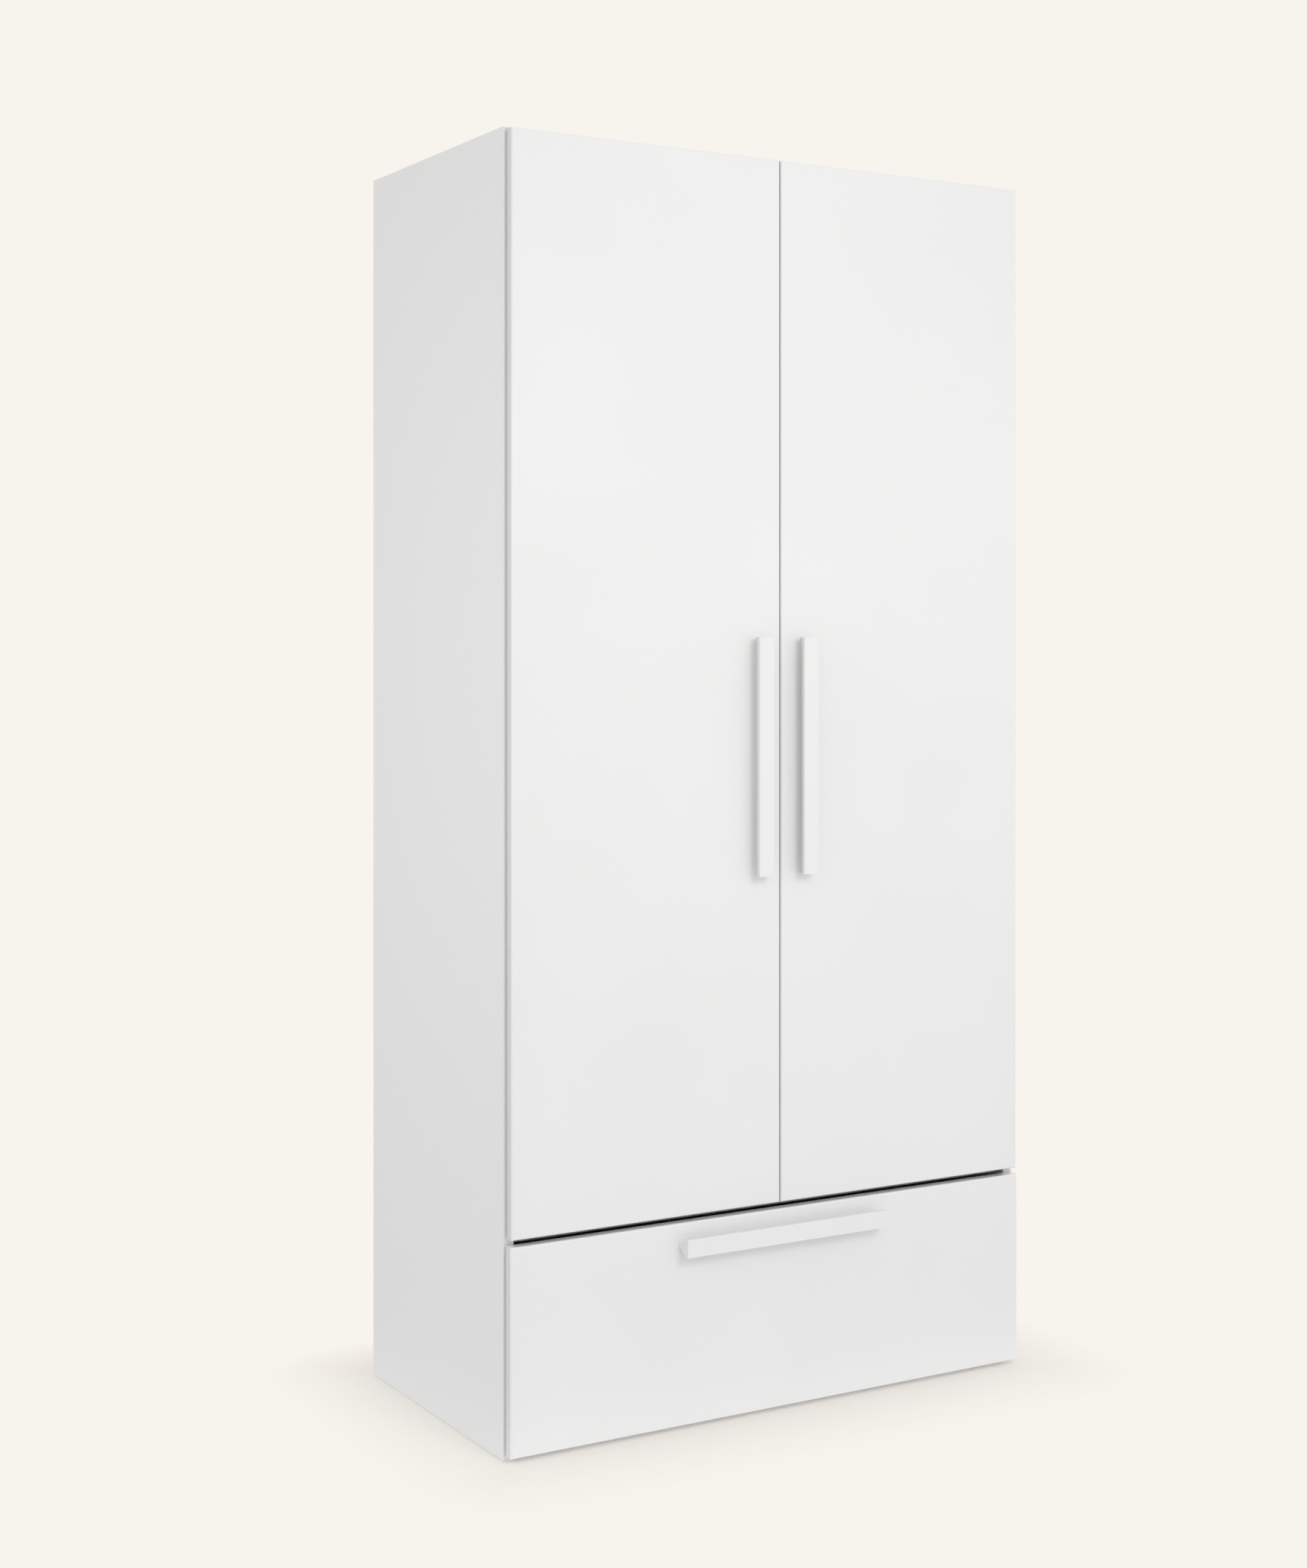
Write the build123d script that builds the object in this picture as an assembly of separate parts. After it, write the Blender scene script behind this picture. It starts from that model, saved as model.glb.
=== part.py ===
from build123d import *
import os

# Wardrobe: two tall doors over one wide drawer, flat-packed from 18 mm board.
# Millimetres, +Z up, the front faces -Y. The origin is on the floor, at the middle of the whole box.

# Overall sizes
width = 970
height = 2000
carcass_depth = 480
board = 18
front_gap = 2              # between the carcass and the closed fronts
handle_reach = 26          # how far a handle stands out from its front
overall_depth = carcass_depth + front_gap + board + handle_reach

# Planes across the depth
back_y = overall_depth / 2
carcass_front_y = back_y - carcass_depth
front_inner_y = carcass_front_y - front_gap
front_outer_y = front_inner_y - board
inner_x = width / 2 - board

# Back panels and the depth of the boards in front of them
back_board = 3
back_recess = 1
board_back_y = back_y - back_recess - back_board
rabbet_width = 9

# Levels
glide_height = 2
bottom_z = 58              # underside of the bottom panel
fixed_shelf_z = 321        # underside of the shelf between drawer and doors
hat_shelf_z = 1690
shelf_setback = 20         # of the hat shelf and the shelf over the drawer, from the carcass front
top_z = height - board
plinth_setback = 18

# Fronts
door_edge_inset = 5
door_split = 2
door_bottom_z = 334
door_top_z = 1996.5
drawer_edge_inset = 3
drawer_front_bottom_z = 8
drawer_front_top_z = 324
front_rounding = 4

# Handles
handle_length = 378
handle_width = 28
handle_edge_radius = 1.2
door_handle_offset = 42.4  # middle of the bar from the middle of the wardrobe
door_handle_z = 1046.5     # middle of the upright bars
drawer_handle_bottom_z = 275
handle_screw_spacing = 320
handle_thread = 9          # screw thread inside the bar
handle_stem_middle = 15.2  # height of the screws in the bar's section

# Concealed hinges, in the plane seen from above: u from the wardrobe's outer side, v from the carcass front
hinge_count = 4
hinge_end_distance = 100
arm_pivot = (31.6, -5.8)
cup_pivot = (16.0, -5.8)
hinge_pin_radius = 1.5
running_gap = 0.1

# The hinge's cup
cup_radius = 17.5
cup_depth = 11.5
cup_wall = 1
cup_edge_distance = 4.5
cup_u = door_edge_inset + cup_edge_distance + cup_radius
cup_screw_u = cup_u + 9.5
cup_screw_spacing = 48
cup_screw_hole_radius = 2
wing_sheet = 0.8
wing_width = 12
wing_end = 5               # from a cup screw's middle to the wing's end
cup_pin_reach = 12         # from the hinge's middle plane to the pin hole's end
ear_radius = 3.2           # bosses inside the cup, round the pin's ends
ear_length = 8.8
ear_middle = 10

# The hinge's link, arm and mounting plate
link_bow = 3.5
link_thickness = 2.2
link_width = 10
link_eye_radius = 2.5
pin_heads = 0.8            # what the arm's pin is longer than the arm is wide
arm_nose_radius = 3
arm_u = (24, 36)           # the arm's open side and its web's outer face
arm_web = 1.2
arm_cheek = 1.5
arm_cheek_inner = 5.3      # from the hinge's middle plane to a cheek
arm_shoulder_v = 6
arm_length = 66
arm_screw_v = 50
arm_screw_hole_radius = 2.5
plate_sheet = 2
plate_width = 16
plate_length = 44
plate_screw_v = 37
plate_screw_spacing = 32
rib_u = 34.6               # the rib fills the arm's channel up to its web
rib_v = (32, 62)
rib_width = 10

# Screws and nails: shank radius and length, then head radius and height
cup_screw = ((1.7, 12), (3.4, 0.6))
arm_screw = ((2, 10), (4, 2))
plate_screw = ((2.5, 12), (4, 1.5))
runner_screw = ((1.75, 12.7), (3.2, 1))
drawer_screw = ((1.75, 11.2), (3.2, 0.8))
bracket_screw = ((2, 15), (4, 1.5))
rail_screw = ((1.75, 11), (3.2, 1))
handle_screw = ((2, board + handle_thread), (4, 1.8))
back_nail = ((0.8, 20), (2.5, 0.8))

# Interior
shelf_holes = {"shelf_lower": 2, "shelf_middle": 7, "shelf_upper": 13}
shelf_depth = 420
shelf_back_gap = 15
shelf_play = 1
pin_radius = 2.5
pin_hole_depth = 9
pin_length = 17
pin_row_y = (-170, 205)
pin_row_levels = [511 + 64 * step for step in range(16)]
rail_radius = 12.5
rail_wall = 1.2
rail_z = 1640
rail_y = 21

# Drawer and its roller runners
runner_space = 12.5        # between the side panel and the drawer box
drawer_board = 12
drawer_side_bottom_z = 92
drawer_side_height = 188
drawer_side_length = 450
drawer_bottom_board = 5
drawer_groove = 6
drawer_bottom_z = 98
runner_sheet = 1.2
runner_bottom_z = 84
runner_length = 440
roller_radius = 10.9
roller_width = 7
roller_inset = 3
axle_radius = 2
drawer_outer_x = inner_x - runner_space


def block(x0, x1, y0, y1, z0, z1):
    return Pos((x0 + x1) / 2, (y0 + y1) / 2, (z0 + z1) / 2) * Box(abs(x1 - x0), abs(y1 - y0), abs(z1 - z0))


def rod(axis, radius, centre, length):
    turns = {"x": Rot(0, 90, 0), "y": Rot(90, 0, 0), "z": Rot(0, 0, 0)}
    return Pos(*centre) * turns[axis] * Cylinder(radius, length)


def screw(axis, seat, into, size):
    # seat is the middle of the head's underside. The shank runs from it along the axis, into is +1 or -1.
    (shank_radius, length), (head_radius, head_height) = size
    along = "xyz".index(axis)
    shank_middle = list(seat)
    shank_middle[along] += into * length / 2
    head_middle = list(seat)
    head_middle[along] -= into * head_height / 2
    return rod(axis, shank_radius, shank_middle, length) + rod(axis, head_radius, head_middle, head_height)


def mirrored(shape):
    return mirror(shape, about=Plane.YZ)


def group(shapes):
    return Compound(children=list(shapes))


parts = {}


# Knock-down fittings ---------------------------------------------------------------
cam_radius = 7.5
cam_depth = 12.5
cam_slot = (8, 1.6, 2)     # length, width and depth of the screwdriver slot
cam_distance = 24          # from the board's end to the middle of the cam
bolt_radius = 3
bolt_bite = 11             # bolt thread inside the side panel
bolt_hold = 3              # bolt head inside the cam
dowel_radius = 4
dowel_bite = 11
dowel_length = 34
fitting_rows = (-160, 200)
dowel_rows = (-110, 150)
fitted_boards = {
    "top_panel": top_z,
    "hat_shelf": hat_shelf_z,
    "fixed_shelf": fixed_shelf_z,
    "bottom_panel": bottom_z,
}


def cam_lock(side, y, level):
    middle = (side * (inner_x - cam_distance), y, level + cam_depth / 2)
    slot = Pos(middle[0], y, level + cam_slot[2] / 2) * Box(*cam_slot)
    return rod("z", cam_radius, middle, cam_depth) - [slot, cam_bolt(side, y, level)]


def cam_bolt(side, y, level):
    inner_end = inner_x - cam_distance + cam_radius - bolt_hold
    outer_end = inner_x + bolt_bite
    middle = (side * (inner_end + outer_end) / 2, y, level + board / 2)
    return rod("x", bolt_radius, middle, outer_end - inner_end)


def dowel(side, y, level):
    middle = inner_x + dowel_bite - dowel_length / 2
    return rod("x", dowel_radius, (side * middle, y, level + board / 2), dowel_length)


cam_locks = []
cam_bolts = []
dowels = []
for level in fitted_boards.values():
    for side in (-1, 1):
        cam_locks += [cam_lock(side, y, level) for y in fitting_rows]
        cam_bolts += [cam_bolt(side, y, level) for y in fitting_rows]
        dowels += [dowel(side, y, level) for y in dowel_rows]


def cam_bore(side, y, level):
    middle = (side * (inner_x - cam_distance), y, level + cam_depth / 2)
    return rod("z", cam_radius, middle, cam_depth)


# Upright dowels hold the divider between the fixed shelf and the hat shelf.
for y in fitting_rows:
    for joint_z in (fixed_shelf_z + board, hat_shelf_z):
        inward = 1 if joint_z < hat_shelf_z else -1
        middle_z = joint_z + inward * (dowel_length / 2 - dowel_bite)
        dowels.append(rod("z", dowel_radius, (0, y, middle_z), dowel_length))


# Hinges ----------------------------------------------------------------------------
def hinge_levels():
    first = door_bottom_z + hinge_end_distance
    last = door_top_z - hinge_end_distance
    return [first + step * (last - first) / (hinge_count - 1) for step in range(hinge_count)]


cup_screw_places = (-cup_screw_spacing / 2, cup_screw_spacing / 2)
plate_screw_places = (-plate_screw_spacing / 2, plate_screw_spacing / 2)


def at_hinges(shape):
    # The left door's hinges: u and v become places in the wardrobe.
    return [Pos(-width / 2, carcass_front_y, level) * shape for level in hinge_levels()]


def hinge_cup():
    face = -front_gap
    shell = rod("y", cup_radius, (cup_u, face - cup_depth / 2, 0), cup_depth)
    wing_reach = cup_screw_spacing / 2 + wing_end
    wing_u = (cup_screw_u - wing_width / 2, cup_screw_u + wing_width / 2)
    wing = block(*wing_u, face, face + wing_sheet, -wing_reach, wing_reach)
    hollow_depth = cup_depth - cup_wall
    hollow = rod("y", cup_radius - cup_wall, (cup_u, face - hollow_depth / 2 + wing_sheet, 0),
                 hollow_depth + 2 * wing_sheet)
    pin_hole = rod("z", hinge_pin_radius + running_gap, (*cup_pivot, 0), 2 * cup_pin_reach)
    ears = [rod("z", ear_radius, (*cup_pivot, side * ear_middle), ear_length) for side in (-1, 1)]
    screw_holes = [rod("y", cup_screw_hole_radius, (cup_screw_u, face, z), 2 * cup_screw_hole_radius)
                   for z in cup_screw_places]
    return (shell + wing) - (hollow - ears) - [pin_hole] - screw_holes


def cup_screws():
    return [screw("y", (cup_screw_u, wing_sheet - front_gap, z), -1, cup_screw) for z in cup_screw_places]


def hinge_link():
    half_chord = (arm_pivot[0] - cup_pivot[0]) / 2
    radius = (half_chord ** 2 + link_bow ** 2) / (2 * link_bow)
    middle = (cup_pivot[0] + half_chord, arm_pivot[1] - link_bow + radius)
    ring = Circle(radius + link_thickness / 2) - Circle(radius - link_thickness / 2)
    below = Pos(middle[0], arm_pivot[1] - radius) * Rectangle(2 * half_chord, 2 * radius)
    bow = (Pos(*middle) * ring) & below
    eyes = [Pos(*pivot) * Circle(link_eye_radius) for pivot in (arm_pivot, cup_pivot)]
    bores = [Pos(*pivot) * Circle(hinge_pin_radius) for pivot in (arm_pivot, cup_pivot)]
    return extrude((bow + eyes) - bores, amount=link_width / 2, both=True)


def hinge_pins():
    cup_pin = rod("z", hinge_pin_radius, (*cup_pivot, 0), 2 * (cup_pin_reach - running_gap))
    arm_pin = rod("z", hinge_pin_radius, (*arm_pivot, 0), 2 * (arm_cheek_inner + arm_cheek) + pin_heads)
    return [cup_pin, arm_pin]


def hinge_arm():
    # A channel, open towards the side panel: two cheeks that end in the pivot nose, and a web.
    pivot_u, pivot_v = arm_pivot
    nose = Pos(*arm_pivot) * Circle(arm_nose_radius)
    neck = make_face(Polyline((pivot_u - arm_nose_radius, pivot_v), (pivot_u + arm_nose_radius, pivot_v),
                              (arm_u[1], arm_shoulder_v), (arm_u[1], arm_length), (arm_u[0], arm_length),
                              (arm_u[0], arm_shoulder_v), close=True))
    outer = extrude(nose + neck, amount=arm_cheek_inner + arm_cheek, both=True)
    inside = block(0, arm_u[1] - arm_web, -arm_length, 2 * arm_length, -arm_cheek_inner, arm_cheek_inner)
    pin_hole = rod("z", hinge_pin_radius + running_gap, (*arm_pivot, 0), arm_length)
    screw_hole = rod("x", arm_screw_hole_radius, (arm_u[1], arm_screw_v, 0), board)
    return outer - [inside, pin_hole, screw_hole]


def hinge_plate():
    plate_v = (plate_screw_v - plate_width / 2, plate_screw_v + plate_width / 2)
    base = block(board, board + plate_sheet, *plate_v, -plate_length / 2, plate_length / 2)
    rib = block(board, rib_u, *rib_v, -rib_width / 2, rib_width / 2)
    return (base + rib) - plate_screws()


def plate_screws():
    seats = [(board + plate_sheet, plate_screw_v, z) for z in plate_screw_places]
    screws = [screw("x", seat, -1, plate_screw) for seat in seats]
    return [screw("x", (arm_u[1], arm_screw_v, 0), -1, arm_screw)] + screws


def on_each_hinge(pieces):
    return [placed for piece in pieces for placed in at_hinges(piece)]


# Side panels -----------------------------------------------------------------------
runner_screw_rows = (-150, 20, 160)
runner_screw_z = runner_bottom_z + 12
glide_nail_radius = 1.2
glide_nail_length = 12
back_bottom_z = bottom_z + 2


def shelf_pin_holes(panel_face, into):
    # into is +1 where the board lies towards +X from the face
    middle = panel_face + into * pin_hole_depth / 2
    places = [(middle, y, level) for y in pin_row_y for level in pin_row_levels]
    return [rod("x", pin_radius, place, pin_hole_depth) for place in places]


def side_panel(with_shelf_pins):
    # The right-hand panel. The left one is its mirror image.
    panel = block(inner_x, width / 2, carcass_front_y, back_y, glide_height, height)
    cuts = [block(inner_x, inner_x + rabbet_width, board_back_y, back_y, back_bottom_z, height)]
    for level in fitted_boards.values():
        cuts += [cam_bolt(1, y, level) for y in fitting_rows]
        cuts += [dowel(1, y, level) for y in dowel_rows]
    cuts += [mirrored(piece) for piece in on_each_hinge(plate_screws())]
    cuts += [cabinet_runner_screw(y) for y in runner_screw_rows]
    cuts += [glide_nail(glide_x, y) for y in glide_rows]
    if with_shelf_pins:
        cuts += shelf_pin_holes(inner_x, 1)
    return panel - cuts


def cabinet_runner_screw(y):
    return screw("x", (inner_x - runner_sheet, y, runner_screw_z), 1, runner_screw)


def glide_nail(x, y):
    return rod("z", glide_nail_radius, (x, y, glide_height + glide_nail_length / 2), glide_nail_length)


glide_rows = (carcass_front_y + 40, back_y - 40)
glide_x = width / 2 - board / 2
parts["side_panel_right"] = side_panel(with_shelf_pins=True)
parts["side_panel_left"] = mirrored(side_panel(with_shelf_pins=False))


# Boards between the sides ----------------------------------------------------------
def cross_board(name, front_y):
    level = fitted_boards[name]
    panel = block(-inner_x, inner_x, front_y, board_back_y, level, level + board)
    cuts = []
    for side in (-1, 1):
        cuts += [cam_bore(side, y, level) for y in fitting_rows]
        cuts += [cam_bolt(side, y, level) for y in fitting_rows]
        cuts += [dowel(side, y, level) for y in dowel_rows]
    return panel - cuts


upright_dowels = [piece for piece in dowels if abs(piece.center().X) < 1]
for name in fitted_boards:
    setback = shelf_setback if name in ("hat_shelf", "fixed_shelf") else 0
    parts[name] = cross_board(name, carcass_front_y + setback)
for name in ("hat_shelf", "fixed_shelf"):
    parts[name] = parts[name] - upright_dowels

divider = block(-board / 2, board / 2, carcass_front_y, board_back_y, fixed_shelf_z + board, hat_shelf_z)
parts["centre_divider"] = divider - upright_dowels - shelf_pin_holes(board / 2, -1)

plinth_front_y = carcass_front_y + plinth_setback
parts["plinth_rail"] = block(-inner_x, inner_x, plinth_front_y, plinth_front_y + board,
                             glide_height, bottom_z)

parts["cam_locks"] = group(cam_locks)
parts["cam_bolts"] = group(cam_bolts)
parts["dowels"] = group(dowels)


# Floor glides ----------------------------------------------------------------------
glide_radius = 8
glide_rounding = 1


def glide(x, y):
    foot = Pos(x, y, glide_height / 2) * Cylinder(glide_radius, glide_height)
    foot = fillet(foot.edges().group_by(Axis.Z)[0], glide_rounding)
    return foot + glide_nail(x, y)


parts["floor_glides"] = group(glide(side * glide_x, y) for side in (-1, 1) for y in glide_rows)


# Back ------------------------------------------------------------------------------
back_top_z = height - 2
back_joint = 2             # gap between the two back panels, filled by the strip's web
strip_width = 14
bracket_x = 400
wall_hole_z = top_z - 30
wall_hole_radius = 4
side_nail_start = 130
side_nail_step = 200
side_nail_count = 10
board_nail_x = (-360, -140, 140, 360)


def nail_places():
    side_x = inner_x + rabbet_width / 2
    levels = [side_nail_start + side_nail_step * step for step in range(side_nail_count)]
    places = [(side * side_x, level) for side in (-1, 1) for level in levels]
    for level in fitted_boards.values():
        places += [(x, level + board / 2) for x in board_nail_x]
    return places


def nail(x, z):
    return screw("y", (x, board_back_y + back_board, z), -1, back_nail)


nails = [nail(x, z) for x, z in nail_places()]
right_nails = [piece for piece in nails if piece.center().X > 0]


def back_panel():
    panel = block(back_joint / 2, inner_x + rabbet_width, board_back_y, board_back_y + back_board,
                  back_bottom_z, back_top_z)
    wall_hole = rod("y", wall_hole_radius, (bracket_x, board_back_y, wall_hole_z), board)
    return panel - right_nails - wall_hole


parts["back_panel_right"] = back_panel()
parts["back_panel_left"] = mirrored(parts["back_panel_right"])
strip_web = block(-back_joint / 2, back_joint / 2, board_back_y, back_y, back_bottom_z, back_top_z)
strip_flange = block(-strip_width / 2, strip_width / 2, back_y - back_recess, back_y,
                     back_bottom_z, back_top_z)
parts["back_joint_strip"] = strip_web + strip_flange
parts["back_nails"] = group(nails)
nailed_parts = ("side_panel_left", "side_panel_right", *fitted_boards)
for name in nailed_parts:
    parts[name] = parts[name] - nails


# Wall brackets ---------------------------------------------------------------------
bracket_leg = 44
bracket_sheet = 2.5
bracket_width = 30
bracket_wall_hole_radius = 3
bracket_screw_y = board_back_y - 30


def wall_bracket(x):
    across = (x - bracket_width / 2, x + bracket_width / 2)
    upper = block(*across, board_back_y - bracket_leg, board_back_y, top_z - bracket_sheet, top_z)
    rear = block(*across, board_back_y - bracket_sheet, board_back_y, top_z - bracket_leg, top_z)
    wall_hole = rod("y", bracket_wall_hole_radius, (x, board_back_y, wall_hole_z), board)
    return (upper + rear) - [top_screw(x), wall_hole]


def top_screw(x):
    return screw("z", (x, bracket_screw_y, top_z - bracket_sheet), 1, bracket_screw)


top_screws = [top_screw(side * bracket_x) for side in (-1, 1)]
parts["wall_brackets"] = group(wall_bracket(side * bracket_x) for side in (-1, 1))
parts["top_panel"] = parts["top_panel"] - top_screws


# Loose shelves in the right bay ----------------------------------------------------
shelf_front_y = board_back_y - shelf_back_gap - shelf_depth


def shelf_pin(face, into, y, level):
    # into is +1 where the board that holds the pin lies towards +X. The shelf lies on the stem's free end.
    return rod("x", pin_radius, (face + into * (pin_hole_depth - pin_length / 2), y, level), pin_length)


shelf_pins = []
for name, hole in shelf_holes.items():
    pin_level = pin_row_levels[hole]
    shelf_z = pin_level + pin_radius
    parts[name] = block(board / 2 + shelf_play, inner_x - shelf_play,
                        shelf_front_y, shelf_front_y + shelf_depth, shelf_z, shelf_z + board)
    for y in pin_row_y:
        shelf_pins += [shelf_pin(inner_x, 1, y, pin_level), shelf_pin(board / 2, -1, y, pin_level)]
parts["shelf_pins"] = group(shelf_pins)


# Clothes rail in the left bay ------------------------------------------------------
rail_end_depth = 12
rail_end_radius = 18
rail_end_base = 3
rail_end_gap = 1.2         # between the rail's end and the bottom of its cup
rail_screw_offset = 7


def rail_end(face, into):
    # A cup that is open at the top, screwed to the board. into points from the board into the bay.
    outer = rod("x", rail_end_radius, (face + into * rail_end_depth / 2, rail_y, rail_z), rail_end_depth)
    pocket_middle = face + into * (rail_end_base + rail_end_depth / 2)
    pocket = rod("x", rail_radius, (pocket_middle, rail_y, rail_z), rail_end_depth)
    slot = Pos(pocket_middle, rail_y, rail_z + rail_end_radius) * Box(rail_end_depth, 2 * rail_radius,
                                                                      2 * rail_end_radius)
    return outer - [pocket, slot] - rail_end_screws(face, into)


def rail_end_screws(face, into):
    seat_x = face + into * rail_end_base
    levels = (rail_z - rail_screw_offset, rail_z + rail_screw_offset)
    return [screw("x", (seat_x, rail_y, level), -into, rail_screw) for level in levels]


rail_faces = ((-inner_x, 1), (-board / 2, -1))
rail_screws = [piece for face, into in rail_faces for piece in rail_end_screws(face, into)]
rail_start = -inner_x + rail_end_base + rail_end_gap
rail_stop = -board / 2 - rail_end_base - rail_end_gap
rail_middle = ((rail_start + rail_stop) / 2, rail_y, rail_z)
rail_tube = rod("x", rail_radius, rail_middle, rail_stop - rail_start)
rail_bore = rod("x", rail_radius - rail_wall, rail_middle, rail_stop - rail_start)
parts["clothes_rail"] = rail_tube - rail_bore
parts["rail_ends"] = group(rail_end(face, into) for face, into in rail_faces)
for name in ("side_panel_left", "centre_divider"):
    parts[name] = parts[name] - rail_screws


# Handles ---------------------------------------------------------------------------
plate_back = 16            # edges that stand further out than this are rounded


def handle_bar():
    # The section's first axis is the reach out of the front, its second the height. It stands along X.
    line = Polyline((18.4, 27), (19, 28), (26, 28), (26, 0), (17, 0))
    underside = ThreePointArc((17, 0), (10.5, 6.6), (0, 11.8))
    foot = Line((0, 11.8), (0, 18.6))
    stem_top = Line((0, 18.6), (11.5, 18.6))
    grip = ThreePointArc((11.5, 18.6), (16.2, 21.4), (18.4, 27))
    section = make_face(line + underside + foot + stem_top + grip)
    bar = extrude(Plane.YZ * section, amount=handle_length / 2, both=True)
    plate_edges = [edge for edge in bar.edges().filter_by(Axis.X) if edge.center().Y > plate_back]
    return fillet(plate_edges, handle_edge_radius) - handle_screws()


def handle_screws():
    # In the bar's own frame: y = 0 is the front's outer face and the front's board lies at y < 0.
    places = (-handle_screw_spacing / 2, handle_screw_spacing / 2)
    return [screw("y", (x, -board, handle_stem_middle), 1, handle_screw) for x in places]


def on_drawer_front(shape):
    return Pos(0, front_outer_y, drawer_handle_bottom_z) * Rot(0, 0, 180) * shape


def on_door(shape, side):
    # The bar stands upright, with its grip towards -X on both doors.
    middle_x = side * door_handle_offset + handle_width / 2
    return Pos(middle_x, front_outer_y, door_handle_z) * Rot(0, -90, 0) * Rot(0, 0, 180) * shape


# Doors -----------------------------------------------------------------------------
buffer_radius = 3.4
buffer_height = 1.8
buffer_edge_gap = 0.6
buffer_x = door_split / 2 + buffer_edge_gap + buffer_radius
buffer_levels = (420, 1660)


def rounded_front(x0, x1, z0, z1):
    panel = block(x0, x1, front_outer_y, front_inner_y, z0, z1)
    front_edges = panel.faces().sort_by(Axis.Y)[0].edges()
    return fillet(front_edges, front_rounding)


def door_buffers():
    places = [(-buffer_x, front_inner_y + buffer_height / 2, level) for level in buffer_levels]
    return [rod("y", buffer_radius, place, buffer_height) for place in places]


def build_door(side, name):
    # Everything is placed for the left door; the right door's fittings are the mirror image.
    def handed(shapes):
        return [mirrored(shape) if side > 0 else shape for shape in shapes]

    cup_bore = rod("y", cup_radius, (cup_u, -front_gap - cup_depth / 2, 0), cup_depth)
    bores = handed(on_each_hinge([cup_bore]) + on_each_hinge(cup_screws()))
    screws = [on_door(piece, side) for piece in handle_screws()]
    edges = sorted((side * (width / 2 - door_edge_inset), side * door_split / 2))
    parts["door_" + name] = rounded_front(*edges, door_bottom_z, door_top_z) - bores - screws
    parts["handle_" + name] = on_door(handle_bar(), side)
    parts["handle_screws_" + name] = group(screws)
    parts["hinge_cups_" + name] = group(handed(on_each_hinge([hinge_cup()])))
    parts["hinge_cup_screws_" + name] = group(handed(on_each_hinge(cup_screws())))
    parts["hinge_links_" + name] = group(handed(on_each_hinge([hinge_link()])))
    parts["hinge_pins_" + name] = group(handed(on_each_hinge(hinge_pins())))
    parts["door_buffers_" + name] = group(handed(door_buffers()))


build_door(-1, "left")
build_door(1, "right")


def both_sides(shapes):
    return [placed for shape in shapes for placed in (shape, mirrored(shape))]


parts["hinge_arms"] = group(both_sides(on_each_hinge([hinge_arm()])))
parts["hinge_plates"] = group(both_sides(on_each_hinge([hinge_plate()])))


# Drawer box ------------------------------------------------------------------------
drawer_inner_x = drawer_outer_x - drawer_board
drawer_back_y = front_inner_y + drawer_side_length
drawer_side_top_z = drawer_side_bottom_z + drawer_side_height
drawer_dowel_radius = 4
drawer_dowel_levels = (130, 190, 250)
front_dowel_bite = 10      # dowel inside the drawer's front
front_dowel_length = 36
back_dowel_radius = 3
back_dowel_length = 30
drawer_screw_rows = (-180, 0, 190)
drawer_screw_z = 106


def drawer_dowels():
    pieces = []
    front_middle_y = front_inner_y - front_dowel_bite + front_dowel_length / 2
    back_middle_x = drawer_inner_x - drawer_board / 2
    for side in (-1, 1):
        middle_x = side * (drawer_outer_x - drawer_board / 2)
        for z in drawer_dowel_levels:
            pieces.append(rod("y", drawer_dowel_radius, (middle_x, front_middle_y, z), front_dowel_length))
            back_middle = (side * back_middle_x, drawer_back_y - drawer_board / 2, z)
            pieces.append(rod("x", back_dowel_radius, back_middle, back_dowel_length))
    return pieces


def drawer_floor():
    grip = drawer_groove
    return block(-drawer_inner_x - grip, drawer_inner_x + grip, front_inner_y - grip, drawer_back_y,
                 drawer_bottom_z, drawer_bottom_z + drawer_bottom_board)


def drawer_runner_screw(y):
    return screw("x", (drawer_outer_x + runner_sheet, y, drawer_screw_z), -1, drawer_screw)


front_panel = rounded_front(-width / 2 + drawer_edge_inset, width / 2 - drawer_edge_inset,
                            drawer_front_bottom_z, drawer_front_top_z)
drawer_handle_screws = [on_drawer_front(piece) for piece in handle_screws()]
box_dowels = drawer_dowels()
drawer_runner_screws = both_sides([drawer_runner_screw(y) for y in drawer_screw_rows])
parts["drawer_front"] = front_panel - drawer_floor() - box_dowels - drawer_handle_screws
side_board = block(drawer_inner_x, drawer_outer_x, front_inner_y, drawer_back_y, drawer_side_bottom_z,
                   drawer_side_top_z)
for side, name in ((1, "right"), (-1, "left")):
    handed_side = side_board if side > 0 else mirrored(side_board)
    parts["drawer_side_" + name] = handed_side - drawer_floor() - box_dowels - drawer_runner_screws
drawer_back_z = drawer_bottom_z + drawer_bottom_board
back_board_block = block(-drawer_inner_x, drawer_inner_x, drawer_back_y - drawer_board, drawer_back_y,
                         drawer_back_z, drawer_side_top_z)
parts["drawer_back"] = back_board_block - box_dowels
parts["drawer_bottom"] = drawer_floor()
parts["drawer_dowels"] = group(box_dowels)
parts["handle_drawer"] = on_drawer_front(handle_bar())
parts["handle_screws_drawer"] = group(drawer_handle_screws)


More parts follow.
